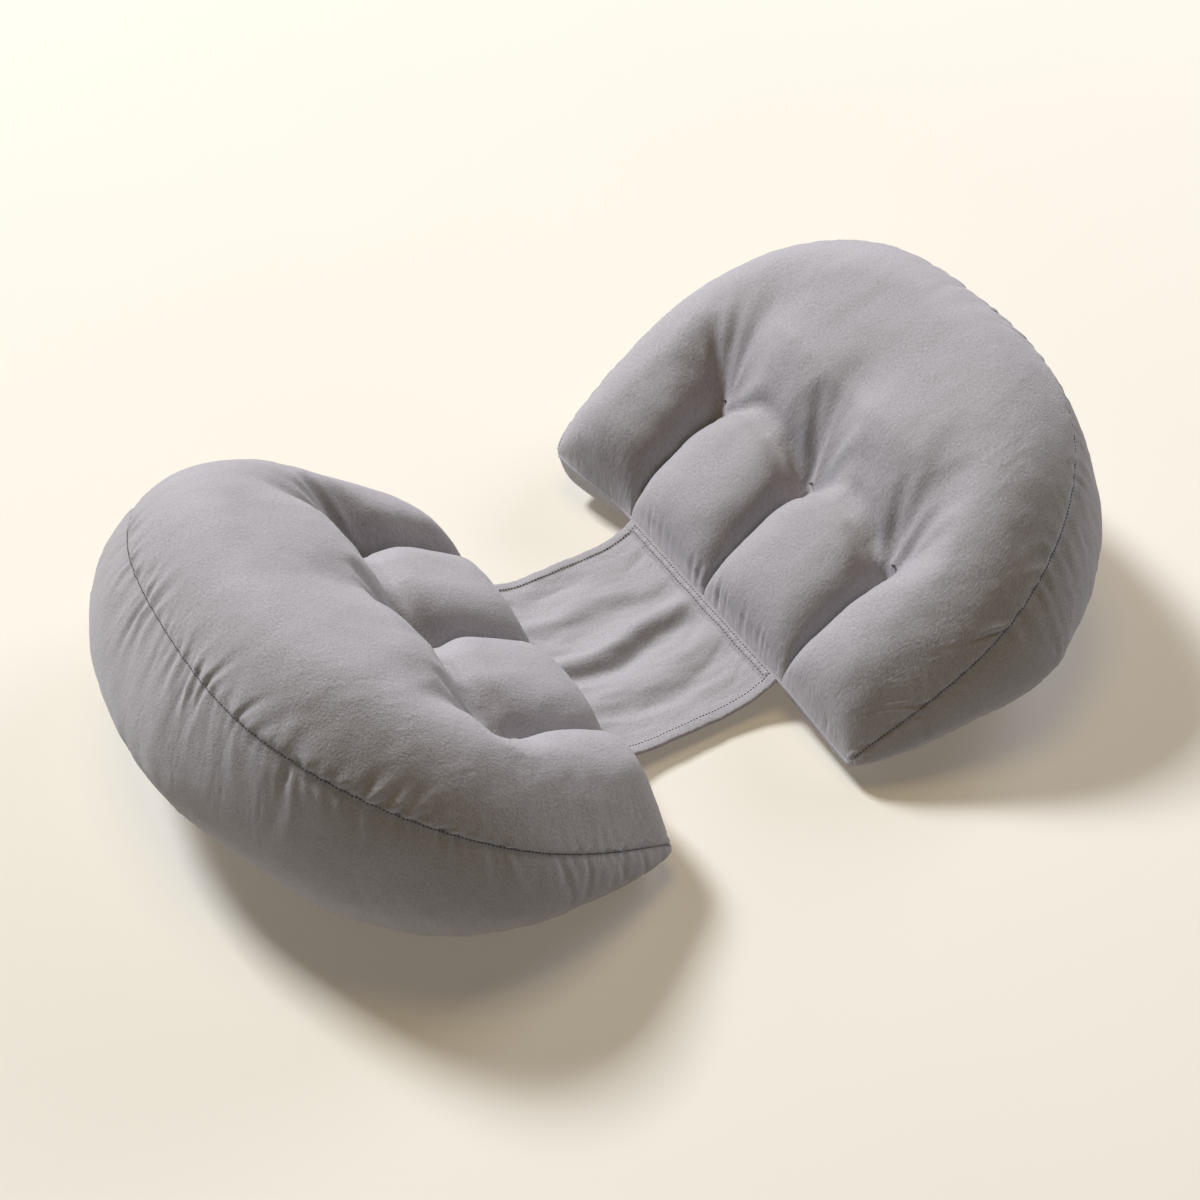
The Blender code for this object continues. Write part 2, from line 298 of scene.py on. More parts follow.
def bottomZ(x, y, row):
    inside = (1.0 - arcShare(x, y)) * arcHalf
    low = frontZ(y, row) - c["seamLip"]
    atTip = max(1.0 - x / c["bottomTipReach"], 0.0) * tipBlend(y)
    seam = c["bottomSeamZ"] + (low - c["bottomSeamZ"]) * atTip
    rim = seam * (1.0 - rollOver(inside / c["bottomRoll"]))
    front = low * (1.0 - swell(x / c["bottomRoll"]))
    stitched = channelZ(x, y, row) - c["channelGap"]
    return stitched + (max(rim, front) - stitched) * channelPull(x, y, c["channelWidth"] * c["channelUnder"])


def gussetSwell(height, level, y, row):
    # how far the side swells out at this share of its height
    swelling = row["fullness"] * c["gussetBulge"] * swell(height / c["gussetFullHeight"])
    swelling = min(c["gussetShare"] * height, swelling)
    swelling *= 1.0 - abs(2.0 * level ** c["gussetSag"] - 1.0) ** c["gussetRound"]
    return swelling * (1.0 + (row["nearBulge"] - 1.0) * smooth(-y / c["nearBulgeReach"]))


def cushionPoint(front, arc, station, level, row):
    # a point of the sewn shell: level is 1 on the top cloth, 0 on the bottom, between on the gusset
    ax, ay = arcPoint(arc)
    y0 = front * c["halfFront"]
    x = ax * station
    y = y0 + (ay - y0) * station
    onArc = station > 0.999
    onFront = station < 0.001
    inset = c["bottomInset"] * smooth(station * 1.3 - 0.3) * smooth(x / c["bottomInsetReach"])
    span = math.hypot(x - c["arcCentre"], y)
    bx = x - inset * (x - c["arcCentre"]) / max(span, 1e-6)
    by = y - inset * y / max(span, 1e-6)
    if onArc:
        lowZ = frontZ(y, row) - c["seamLip"]
        zt = max(wedgeZ(ax, ay, row), lowZ + c["seamLip"]) + nearLift(ax, ay)
        zb = c["bottomSeamZ"] + (lowZ - c["bottomSeamZ"]) * (1.0 - smooth(ax / c["bottomRimReach"]))
    elif onFront:
        zt = frontZ(y, row)
        zb = zt - c["seamLip"]
    else:
        zt = topZ(x, y, row)
        zb = min(bottomZ(bx, by, row), zt - c["seamLip"])
    px = bx + (x - bx) * level
    py = by + (y - by) * level
    pz = zb + (zt - zb) * level
    if 0.0 < level < 1.0:
        swelling = gussetSwell(zt - zb, level, y, row)
        if onArc:
            px += swelling * (x - c["arcCentre"]) / span
            py += swelling * y / span
        elif onFront:
            px -= swelling
        else:
            py += math.copysign(swelling, y)
    if not onFront:
        # the fingers bulge out over their own front seam
        ahead = x / c["overhangPeak"]
        between = max(math.sin(math.pi * min(abs(y0) / c["channelY"], 1.0)), 0.0)
        over = max(c["frontOverhang"] * tipBlend(y0 * 1.25), c["middleOverhang"] * between ** 0.5)
        px -= over * ahead * math.exp(1.0 - ahead) * level
    # the filling pushes the cut a little wider on one side than on the other
    wider = row["farWider"] if py > 0.0 else row["nearWider"]
    wider *= smooth((abs(py) - c["widerStart"]) / (c["halfFront"] - c["widerStart"]))
    py += math.copysign(wider, py) * bell((px - c["widerMiddle"]) / c["widerReach"])
    px = flaredX(px, py, row)
    py += row["lean"] * px
    return Vector((middleX + row["facing"] * (c["frontSeamX"] + px), middleY + py, pz))


def columnShares(fineness):
    # front share and arc share of every line from tip to tip
    channel = c["channelY"] / c["halfFront"]
    onArc = c["channelArcShare"]
    half = []
    for step in range(c["middleColumns"] * fineness):
        share = step / (c["middleColumns"] * fineness)
        half.append((channel * share, onArc * share))
    for step in range(c["outerColumns"] * fineness + 1):
        share = c["outerEnd"] * step / (c["outerColumns"] * fineness)
        half.append((channel + (1.0 - channel) * share, onArc + (1.0 - onArc) * share))
    return [(-front, -arc) for front, arc in reversed(half[1:])] + half


# where the rows crowd together: share of the way from front seam to arc seam, reach, strength
crowds = ((0.0, 0.06, 1.0), (0.37, 0.12, 0.7), (1.0, 0.09, 1.1))


def rowStations():
    parts = 2000
    crowding = []
    for part in range(parts):
        share = (part + 0.5) / parts
        crowding.append(0.75 + sum(strength * bell((share - at) / reach) for at, reach, strength in crowds))
    whole = sum(crowding)
    stations = [0.0]
    total = 0.0
    for part in range(parts):
        total += crowding[part]
        if total >= whole * len(stations) / c["rows"] and len(stations) < c["rows"]:
            stations.append((part + 1.0) / parts)
    return stations + [1.0]


def cushionShell(side, fineness):
    # a flat grid, thickened, with its rim cut into rows, and then laid on the sewn shape
    row = cushionRows[side]
    lines = columnShares(fineness)
    stations = rowStations()
    deselectAll()
    bpy.ops.mesh.primitive_grid_add(x_subdivisions=len(lines) - 1, y_subdivisions=len(stations) - 1, size=2.0)
    piece = bpy.context.active_object
    piece.name = "cushion_%s_cloth" % side
    startEdit()
    bpy.ops.mesh.extrude_region_move(TRANSFORM_OT_translate={"value": (0.0, 0.0, 1.0)})
    bpy.ops.mesh.select_all(action="DESELECT")
    bpy.ops.mesh.select_mode(type="EDGE")
    endEdit()
    mesh = piece.data
    for edge in mesh.edges:
        a, b = (mesh.vertices[index].co for index in edge.vertices)
        edge.select = abs(a.z - b.z) > 0.5
    bpy.ops.object.mode_set(mode="EDIT")
    bpy.ops.mesh.subdivide(number_cuts=c["sideRows"] - 1)
    endEdit()
    mesh = piece.data
    spots = []
    for vertex in mesh.vertices:
        column = round((vertex.co.x + 1.0) * 0.5 * (len(lines) - 1))
        rank = round((vertex.co.y + 1.0) * 0.5 * (len(stations) - 1))
        level = clamp(vertex.co.z)
        front, arc = lines[column]
        spots.append((column, rank, level))
        vertex.co = cushionPoint(front, arc, stations[rank], level, row)
    # laying the grid on a cushion can turn it inside out
    startEdit()
    bpy.ops.mesh.normals_make_consistent(inside=False)
    endEdit()
    return piece, spots, lines, stations


# the filling pushes the cloth out, and the seams gather it
filling = {
    "pressure": 3.0,
    "steps": 11,
    "seamGather": 0.08,
    "ease": 0.004,
    "cap": 0.005,
    "hold": 0.40,
    "restHold": 0.6,
    "tipStart": 0.90,
    "tipReach": 0.05,
}
# a stiff, well-damped cotton, as the cloth simulation names its values
clothValues = {
    "quality": 5,
    "mass": 0.3,
    "tension_stiffness": 25.0,
    "compression_stiffness": 25.0,
    "shear_stiffness": 8.0,
    "bending_stiffness": 3.0,
    "air_damping": 2.0,
    "pin_stiffness": 1.0,
    "use_pressure": True,
    "uniform_pressure_force": filling["pressure"],
    "shrink_min": -filling["ease"],
    "shrink_max": filling["seamGather"],
}


def holdCloth(piece, spots, lines, stations):
    # the front seam, the channels and the tips are held, and the arc seam is gathered
    mesh = piece.data
    pin = piece.vertex_groups.new(name="sewn")
    gather = piece.vertex_groups.new(name="gathered")
    last = len(stations) - 1
    for vertex, (column, rank, level) in zip(mesh.vertices, spots):
        front, arc = lines[column]
        x = arcPoint(arc)[0] * stations[rank]
        onCloth = level > 0.99 or level < 0.01
        held = 1.0 if rank == 0 else filling["hold"]
        for index in (-1, 0, 1):
            onLine = abs(front * c["halfFront"] - index * c["channelY"]) < 0.0005
            if onLine and x < channelEnd(index) and onCloth:
                held = 1.0
        held = max(held, smooth((abs(front) - filling["tipStart"]) / filling["tipReach"]))
        if level < 0.01 and vertex.co.z < 0.004:
            held = max(held, filling["restHold"])
        pin.add([vertex.index], held, "REPLACE")
        if rank == last and onCloth:
            gather.add([vertex.index], 1.0, "REPLACE")


def fillCushion(side):
    # fills a coarser shell, and gives how far each of its spots moved
    piece, spots, lines, stations = cushionShell(side, 1)
    holdCloth(piece, spots, lines, stations)
    start = [vertex.co.copy() for vertex in piece.data.vertices]
    cloth = piece.modifiers.new("Filling", "CLOTH")
    for name, value in clothValues.items():
        setattr(cloth.settings, name, value)
    cloth.settings.vertex_group_mass = "sewn"
    cloth.settings.vertex_group_shrink = "gathered"
    cloth.settings.effector_weights.gravity = 0.0
    cloth.collision_settings.use_self_collision = False
    cloth.point_cache.frame_start = 1
    cloth.point_cache.frame_end = filling["steps"]
    for step in range(1, filling["steps"] + 1):
        bpy.context.scene.frame_set(step)
    graph = bpy.context.evaluated_depsgraph_get()
    moved = [vertex.co.copy() for vertex in piece.evaluated_get(graph).data.vertices]
    piece.modifiers.remove(cloth)
    bpy.context.scene.frame_set(1)
    most = 0.0
    steps = {}
    for (column, rank, level), old, new in zip(spots, start, moved):
        step = new - old
        most = max(most, step.length)
        if step.length > filling["cap"]:
            step *= filling["cap"] / step.length
        steps[(column, rank, round(level * c["sideRows"]))] = step
    bpy.data.objects.remove(piece, do_unlink=True)
    report("%s cushion filled, %.1f mm at most" % (side, most * 1000.0))
    return steps


def plumpUp(piece, spots, steps):
    # the fine shell has two columns for each one of the filled shell
    for vertex, (column, rank, level) in zip(piece.data.vertices, spots):
        key = round(level * c["sideRows"])
        first = steps[(column // 2, rank, key)]
        second = steps[((column + 1) // 2, rank, key)]
        vertex.co += 0.5 * (first + second)
        vertex.co.z = max(vertex.co.z, 0.0)
    piece.data.update()


# puckers that the thread draws in across the arc seam, zone by zone as shares of it from the near tip:
# how far apart they are, how deep, how wide, and how far they run on the top cloth and on the gusset
puckerColumns = ("start", "end", "apart", "depth", "width", "onTop", "onSide")
puckers = {
    "left": (
        (0.02, 0.13, 0.0110, 0.0008, 0.0028, 0.016, 0.026),
        (0.13, 0.28, 0.0095, 0.0009, 0.0026, 0.013, 0.026),
        (0.28, 0.40, 0.0085, 0.0013, 0.0026, 0.018, 0.032),
        (0.40, 0.68, 0.0080, 0.0011, 0.0026, 0.020, 0.036),
        (0.68, 0.98, 0.0120, 0.0008, 0.0028, 0.014, 0.026),
    ),
    "right": (
        (0.02, 0.16, 0.0160, 0.0006, 0.0028, 0.012, 0.014),
        (0.16, 0.24, 0.0100, 0.0010, 0.0028, 0.020, 0.016),
        (0.24, 0.44, 0.0130, 0.0008, 0.0026, 0.012, 0.024),
        (0.44, 0.84, 0.0085, 0.0011, 0.0026, 0.034, 0.026),
        (0.84, 0.98, 0.0130, 0.0008, 0.0028, 0.016, 0.020),
    ),
}

# creases that run out from the channel ends: which channel, how far turned from straight back
# (positive to the far side), how long, how deep, how wide and how bent
tuftColumns = ("channel", "turn", "reach", "depth", "width", "bend")
tuftCreases = {
    "left": (
        (-1, -52, 0.050, 0.0030, 0.0042, 1.5), (-1, 28, 0.046, 0.0024, 0.0040, -1.5),
        (-1, -12, 0.052, 0.0022, 0.0042, 1.0), (-1, -34, 0.040, 0.0018, 0.0034, 1.0),
        (-1, 76, 0.036, 0.0030, 0.0042, 2.5), (0, 36, 0.046, 0.0024, 0.0040, -1.0),
        (0, -32, 0.046, 0.0024, 0.0040, 1.0), (0, 4, 0.036, 0.0018, 0.0036, 0.0),
        (0, 76, 0.038, 0.0030, 0.0042, 2.5), (0, -76, 0.038, 0.0030, 0.0042, -2.5),
        (1, 52, 0.054, 0.0036, 0.0042, 1.5), (1, 30, 0.044, 0.0024, 0.0036, 1.0),
        (1, 5, 0.056, 0.0026, 0.0040, 0.0), (1, -76, 0.036, 0.0028, 0.0042, -2.5),
    ),
    "right": (
        (1, 50, 0.062, 0.0042, 0.0042, 1.5), (1, 29, 0.054, 0.0034, 0.0034, 1.0),
        (1, 8, 0.044, 0.0018, 0.0034, 0.5), (1, 72, 0.040, 0.0020, 0.0040, 1.5),
        (1, 88, 0.026, 0.0016, 0.0034, 0.0), (1, -72, 0.046, 0.0040, 0.0040, -3.0),
        (0, 74, 0.036, 0.0028, 0.0036, 3.0), (0, 40, 0.044, 0.0026, 0.0038, 1.0),
        (0, 18, 0.040, 0.0018, 0.0034, 0.5), (0, -64, 0.054, 0.0044, 0.0040, -3.5),
        (0, -40, 0.034, 0.0016, 0.0034, -1.0), (-1, 74, 0.040, 0.0028, 0.0036, 3.0),
        (-1, 34, 0.046, 0.0026, 0.0038, 1.0), (-1, 12, 0.036, 0.0016, 0.0034, 0.0),
        (-1, -22, 0.048, 0.0032, 0.0036, -1.0), (-1, -44, 0.044, 0.0030, 0.0036, -1.0),
        (-1, -66, 0.030, 0.0018, 0.0034, -1.0),
    ),
}

# the gathered front seam, the pinch at each channel end and the lumps of the filling
gathers = {
    "apart": 0.0062,
    "depth": 0.0036,
    "width": 0.0016,
    "run": 0.017,
    "outerRun": 0.012,
    "ends": 0.84,
    "tuftStart": 0.014,
    "tuftLine": 0.0026,
    "tuftLineWidth": 0.0036,
    "tuftLineBehind": 0.004,
    "pinch": 0.0010,
    "pinchReach": 0.0065,
    "lump": 0.0016,
    "lumpSize": 0.055,
    "ripple": 0.0007,
    "rippleSize": 0.017,
    "calmReach": 0.050,
    "seamGroove": 0.0008,
    "seamGrooveReach": 0.0024,
    # past these spans a fold is too faint to matter
    "puckerSpan": 0.024,
    "gatherSpan": 0.012,
    "gatherEnd": 0.035,
    "pinchSpan": 0.040,
}
# a fold is followed to this many of its widths either side
foldReach = 3.2


def cut(across):
    # a crease in section: a dip with a low ridge along either side
    return bell(across) - 0.42 * bell((abs(across) - 1.55) / 0.85)


def seamRuns(piece, spots, lines, last):
    # distance along the arc seam for every column, every point's distance from that seam, on the
    # gusset below nought, and every top point's distance from the front seam
    mesh = piece.data
    table = {}
    for vertex, (column, rank, level) in zip(mesh.vertices, spots):
        table[(column, rank, round(level * c["sideRows"]))] = vertex.index
    top = c["sideRows"]
    run = [0.0]
    for column in range(1, len(lines)):
        a = mesh.vertices[table[(column - 1, last, top)]].co
        b = mesh.vertices[table[(column, last, top)]].co
        run.append(run[-1] + (b - a).length)
    away = [1.0] * len(mesh.vertices)
    ahead = [1.0] * len(mesh.vertices)
    for column in range(len(lines)):
        chain = [table[(column, rank, top)] for rank in range(last, -1, -1)]
        side = [table[(column, last, level)] for level in range(top, -1, -1)]
        for spotsHere, sign, store in ((chain, 1.0, away), (side, -1.0, away), (chain[::-1], 1.0, ahead)):
            total = 0.0
            store[spotsHere[0]] = 0.0
            for before, here in zip(spotsHere, spotsHere[1:]):
                total += (mesh.vertices[here].co - mesh.vertices[before].co).length
                store[here] = sign * total
    return run, away, ahead, table


def puckerList(side, total):
    folds = []
    for values in puckers[side]:
        zone = dict(zip(puckerColumns, values))
        at = zone["start"] * total
        while at < zone["end"] * total:
            strength = random.uniform(0.2, 1.0) ** 1.4
            folds.append({
                "at": at,
                "depth": zone["depth"] * (0.35 + 1.25 * strength),
                "width": zone["width"] * random.uniform(0.75, 1.5),
                "onTop": zone["onTop"] * random.uniform(0.35, 1.6),
                "onSide": zone["onSide"] * random.uniform(0.35, 1.6),
                "slant": random.uniform(-0.25, 0.25),
                "bend": random.uniform(-6.0, 6.0),
            })
            at += zone["apart"] * random.uniform(0.5, 1.6)
    return folds


def gatherList():
    folds = []
    at = -c["halfFront"] * gathers["ends"]
    while at < c["halfFront"] * gathers["ends"]:
        middle = abs(at) < c["channelY"]
        nearChannel = min(abs(at - index * c["channelY"]) for index in (-1, 0, 1))
        strength = random.uniform(0.2, 1.0) * (1.0 if middle else 0.7)
        folds.append({
            "at": at,
            "depth": gathers["depth"] * strength * smooth(nearChannel / 0.016),
            "width": gathers["width"] * random.uniform(0.7, 1.4),
            "run": (gathers["run"] if middle else gathers["outerRun"]) * random.uniform(0.5, 1.5),
            "slant": random.uniform(-0.18, 0.18),
        })
        at += gathers["apart"] * random.uniform(0.6, 1.6)
    return folds


def tuftList(side):
    folds = []
    for values in tuftCreases[side]:
        fold = dict(zip(tuftColumns, values))
        fold["x"] = channelEnd(fold["channel"]) - 0.002
        fold["y"] = channelLine(fold["channel"], fold["x"])
        fold["cos"] = math.cos(math.radians(fold["turn"]))
        fold["sin"] = math.sin(math.radians(fold["turn"]))
        folds.append(fold)
    return folds


def puckerMove(folds, at, off, onTop):
    # how far the puckers draw in a spot this far along the arc seam and this far off it
    move = 0.0
    for fold in folds:
        t = abs(off) / (fold["onTop"] if onTop else fold["onSide"])
        if t > 1.6:
            continue
        centre = fold["at"] + fold["slant"] * off + fold["bend"] * off * off
        across = (at - centre) / (fold["width"] * (1.0 + 0.9 * t))
        if abs(across) < foldReach:
            fade = math.exp(-1.6 * t * t) * smooth(abs(off) / 0.004 + 0.35)
            move -= fold["depth"] * fade * cut(across)
    return move


def gatherMove(folds, y0, near):
    # how far the gathers draw in a spot this near to the front seam
    move = 0.0
    for fold in folds:
        across = (y0 - fold["at"] - fold["slant"] * near) / (fold["width"] * (1.0 + 25.0 * near))
        if abs(across) < foldReach:
            move -= fold["depth"] * (1.0 - smooth(near / (fold["run"] * 1.4))) * cut(across)
    return move


def tuftMove(folds, pinches, x, y):
    # how far the channel ends draw in the cloth around them
    move = 0.0
    for px, py in pinches:
        span = math.hypot(x - px, y - py)
        if span < gathers["pinchSpan"]:
            move -= gathers["pinch"] * math.exp(-span / gathers["pinchReach"])
    for fold in folds:
        dx, dy = x - fold["x"], y - fold["y"]
        out = dx * fold["cos"] + dy * fold["sin"]
        if not 0.0 < out < fold["reach"] * 1.25:
            continue
        share = out / fold["reach"]
        across = dy * fold["cos"] - dx * fold["sin"] - fold["bend"] * out * out
        across /= fold["width"] * (0.75 + 1.15 * share)
        if abs(across) < foldReach:
            fade = smooth(out / gathers["tuftStart"]) * (1.0 - smooth(share / 1.25))
            move -= fold["depth"] * fade * cut(across)
    if abs(y) < c["channelY"]:
        # the soft crease from each channel end to the next, deeper on its far half
        towards = (y / c["channelY"]) % 1.0
        behind = c["channelLength"] + gathers["tuftLineBehind"] + creaseBehind(y)
        across = (x - behind) / gathers["tuftLineWidth"]
        if abs(across) < foldReach:
            fade = smooth(towards / 0.35) * (0.45 + 0.55 * smooth(towards / 0.8))
            fade *= smooth((1.0 - towards) / 0.06)
            move -= gathers["tuftLine"] * fade * cut(across)
    return move


def drawIn(piece, spots, lines, stations, side):
    # moves the cloth along its normals for the puckers, creases, gathers, lumps and sunken seams
    random.seed(11 if side == "left" else 23)
    last = len(stations) - 1
    run, away, ahead, table = seamRuns(piece, spots, lines, last)
    folds = puckerList(side, run[-1])
    fronts = gatherList()
    perColumn = []
    for (front, arc), at in zip(lines, run):
        beside = [fold for fold in folds if abs(fold["at"] - at) < gathers["puckerSpan"]]
        y0 = front * c["halfFront"]
        before = [fold for fold in fronts if abs(fold["at"] - y0) < gathers["gatherSpan"]]
        perColumn.append((beside, before))
    tufts = tuftList(side)
    pinches = [(channelEnd(index) + 0.001, channelLine(index, channelEnd(index))) for index in (-1, 0, 1)]
    mesh = piece.data
    shift = Vector((3.1, 1.7, 0.4)) if side == "left" else Vector((7.3, 4.9, 2.2))
    moves = []
    for vertex, (column, rank, level) in zip(mesh.vertices, spots):
        off = away[vertex.index]
        near = ahead[vertex.index]
        front, arc = lines[column]
        beside, before = perColumn[column]
        onTop = level > 0.99
        move = 0.0
        if onTop or rank == last:
            move += puckerMove(beside, run[column], off, onTop)
            move -= gathers["seamGroove"] * math.exp(-abs(off) / gathers["seamGrooveReach"])
            seams = smooth(abs(off) / gathers["calmReach"])
            if onTop:
                seams *= smooth(near / gathers["calmReach"])
            place = vertex.co + shift
            move += gathers["lump"] * seams * noise.noise(place / gathers["lumpSize"])
            move += gathers["ripple"] * seams * noise.noise(place / gathers["rippleSize"])
        if onTop and 0 < rank < last:
            y0 = front * c["halfFront"]
            if near < gathers["gatherEnd"]:
                move += gatherMove(before, y0, near)
            ax, ay = arcPoint(arc)
            move += tuftMove(tufts, pinches, ax * stations[rank], y0 + (ay - y0) * stations[rank])
        moves.append(move)
    normals = [vertex.normal.copy() for vertex in mesh.vertices]
    for vertex, normal, move in zip(mesh.vertices, normals, moves):
        vertex.co += normal * move
        vertex.co.z = max(vertex.co.z, 0.0)
    mesh.update()
    return run, table


# a narrow pleat of spare cloth stands in the mouth of each channel, beside the front seam
pleat = {"length": 0.017, "height": 0.0100, "thick": 0.0030, "lean": 0.0016, "bow": 0.0012, "root": 0.002,
         "cuts": 5, "rows": 14, "riseShare": 0.55, "fallShare": 0.30, "thinning": 0.45, "crestRound": 0.4,
         "endShare": 0.2, "endWidth": 0.35}


def nearestColumn(lines, index):
    channel = index * c["channelY"] / c["halfFront"]
    return min(range(len(lines)), key=lambda item: abs(lines[item][0] - channel))


def channelPleat(piece, table, lines, index):
    column = nearestColumn(lines, index)
    path = []
    for rank in range(pleat["rows"]):
        path.append(piece.data.vertices[table[(column, rank, c["sideRows"])]].co.copy())
    run = [0.0]
    for a, b in zip(path, path[1:]):
        run.append(run[-1] + (b - a).length)
    deselectAll()
    bpy.ops.mesh.primitive_cube_add(size=2.0)
    fold = bpy.context.active_object
    startEdit()
    bpy.ops.mesh.subdivide(number_cuts=pleat["cuts"])
    endEdit()
    for vertex in fold.data.vertices:
        share = 0.5 * (vertex.co.x + 1.0)
        out = share * pleat["length"]
        step = max(item for item in range(len(run)) if run[item] <= out + 1e-9)
        step = min(step, len(path) - 2)
        base = path[step].lerp(path[step + 1], (out - run[step]) / (run[step + 1] - run[step]))
        rise = 0.5 * (vertex.co.z + 1.0)
        height = pleat["height"] * swell(share / pleat["riseShare"], 2.0)
        height *= swell((1.0 - share) / pleat["fallShare"], 2.0)
        wide = 0.5 * pleat["thick"] * (1.0 - pleat["thinning"] * rise)
        wide *= swell((1.02 - rise) / pleat["crestRound"], 2.0)
        full = swell(share / pleat["endShare"], 2.0) * swell((1.0 - share) / pleat["endShare"], 2.0)
        wide *= pleat["endWidth"] + (1.0 - pleat["endWidth"]) * full
        aside = (pleat["lean"] + pleat["bow"] * math.sin(share * 5.0 + index)) * rise
        up = (height + pleat["root"]) * rise - pleat["root"]
        vertex.co = base + Vector((0.0, vertex.co.y * wide + aside, up))
    return fold


# stitches: one is modelled, and then copied along each seam
stitch = {"sides": 6, "rings": 5}
seamStitch = {"pitch": 0.0026, "length": 0.0018, "radius": 0.00042}
frontStitch = {"pitch": 0.0031, "length": 0.0022, "radius": 0.00048}
tackStitch = {"pitch": 0.0042, "length": 0.0046, "radius": 0.00042}
knotStitch = {"pitch": 0.0012, "length": 0.0013, "radius": 0.00062}


def stitchShape(length, radius):
    deselectAll()
    bpy.ops.mesh.primitive_uv_sphere_add(segments=stitch["sides"], ring_count=stitch["rings"], radius=radius)
    shape = bpy.context.active_object
    startEdit()
    bpy.ops.transform.rotate(value=math.radians(90.0), orient_axis="Y", center_override=(0.0, 0.0, 0.0))
    bpy.ops.transform.resize(value=(0.5 * length / radius, 1.0, 0.8), center_override=(0.0, 0.0, 0.0))
    endEdit()
    points = [vertex.co.copy() for vertex in shape.data.vertices]
    faces = [tuple(face.vertices) for face in shape.data.polygons]
    bpy.data.objects.remove(shape, do_unlink=True)
    return points, faces


def alongPath(path, pitch):
    # evenly spaced spots on a path of (point, normal): place, direction and normal
    spots = []
    travelled = 0.0
    wanted = 0.5 * pitch
    for (a, na), (b, nb) in zip(path, path[1:]):
        step = (b - a).length
        while step > 1e-9 and wanted <= travelled + step:
            share = (wanted - travelled) / step
            spots.append((a.lerp(b, share), (b - a).normalized(), na.lerp(nb, share).normalized()))
            wanted += pitch
        travelled += step
    return spots


def stitchRow(name, paths, material, shape, lift, turn=0.0):
    # shape gives the pitch, length and radius of a stitch, lift how high it rides on the cloth
    shapePoints, shapeFaces = stitchShape(shape["length"], shape["radius"])
    points = []
    faces = []
    for path in paths:
        for place, along, normal in alongPath(path, shape["pitch"]):
            side = normal.cross(along).normalized()
            up = along.cross(side).normalized()
            turned = Matrix((along, side, up)).transposed() @ Matrix.Rotation(turn, 3, "Z")
            first = len(points)
            points.extend(place + up * lift + turned @ point for point in shapePoints)
            faces.extend(tuple(first + index for index in face) for face in shapeFaces)
    mesh = bpy.data.meshes.new(name)
    mesh.from_pydata(points, [], faces)
    mesh.update()
    mesh.shade_smooth()
    piece = newObject(name, mesh)
    mesh.materials.append(material)
    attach(piece, "root")
    return piece


def linear(code, alpha=1.0):
    channels = []
    for start in (1, 3, 5):
        value = int(code[start:start + 2], 16) / 255.0
        channels.append(value / 12.92 if value <= 0.04045 else ((value + 0.055) / 1.055) ** 2.4)
    return (*channels, alpha)


def newMaterial(name, values):
    # values are the shader's own, by socket
    material = bpy.data.materials.new(name)
    material.use_nodes = True
    shader = material.node_tree.nodes["Principled BSDF"]
    for socket, value in values.items():
        shader.inputs[socket].default_value = value
    return material, shader


def addNode(material, kind, settings, links):
    # settings are the node's own values, or its sockets by name or number;
    # links are socket: (other node, its output)
    node = material.node_tree.nodes.new("ShaderNode" + kind)
    for name, value in settings.items():
        if isinstance(name, str) and hasattr(node, name):
            setattr(node, name, value)
        else:
            node.inputs[name].default_value = value
    for socket, (other, output) in links.items():
        material.node_tree.links.new(other.outputs[output], node.inputs[socket])
    return node


# a colour mix node: the sockets of its two colours, and its colour output
mixA, mixB, mixed = 6, 7, 2


# plain-woven cotton, lightly brushed: matt, with a fine nap and faint slubs along both threads
cottonFinish = {
    "light": "#b5b1b7",
    "dark": "#949096",
    "mottle": "#a7a4aa",
    "slubScale": 900.0,
    "napScale": 620.0,
    "mottleScale": 26.0,
    "napBump": 0.00046,
    "slubBump": 0.00020,
    "creaseBump": 0.0010,
    "creaseScale": 60.0,
}


# matt and soft: a wide low sheen from the brushed fibres
cottonShader = {"Roughness": 0.92, "Sheen Weight": 0.22, "Sheen Roughness": 0.55, "Specular IOR Level": 0.25}


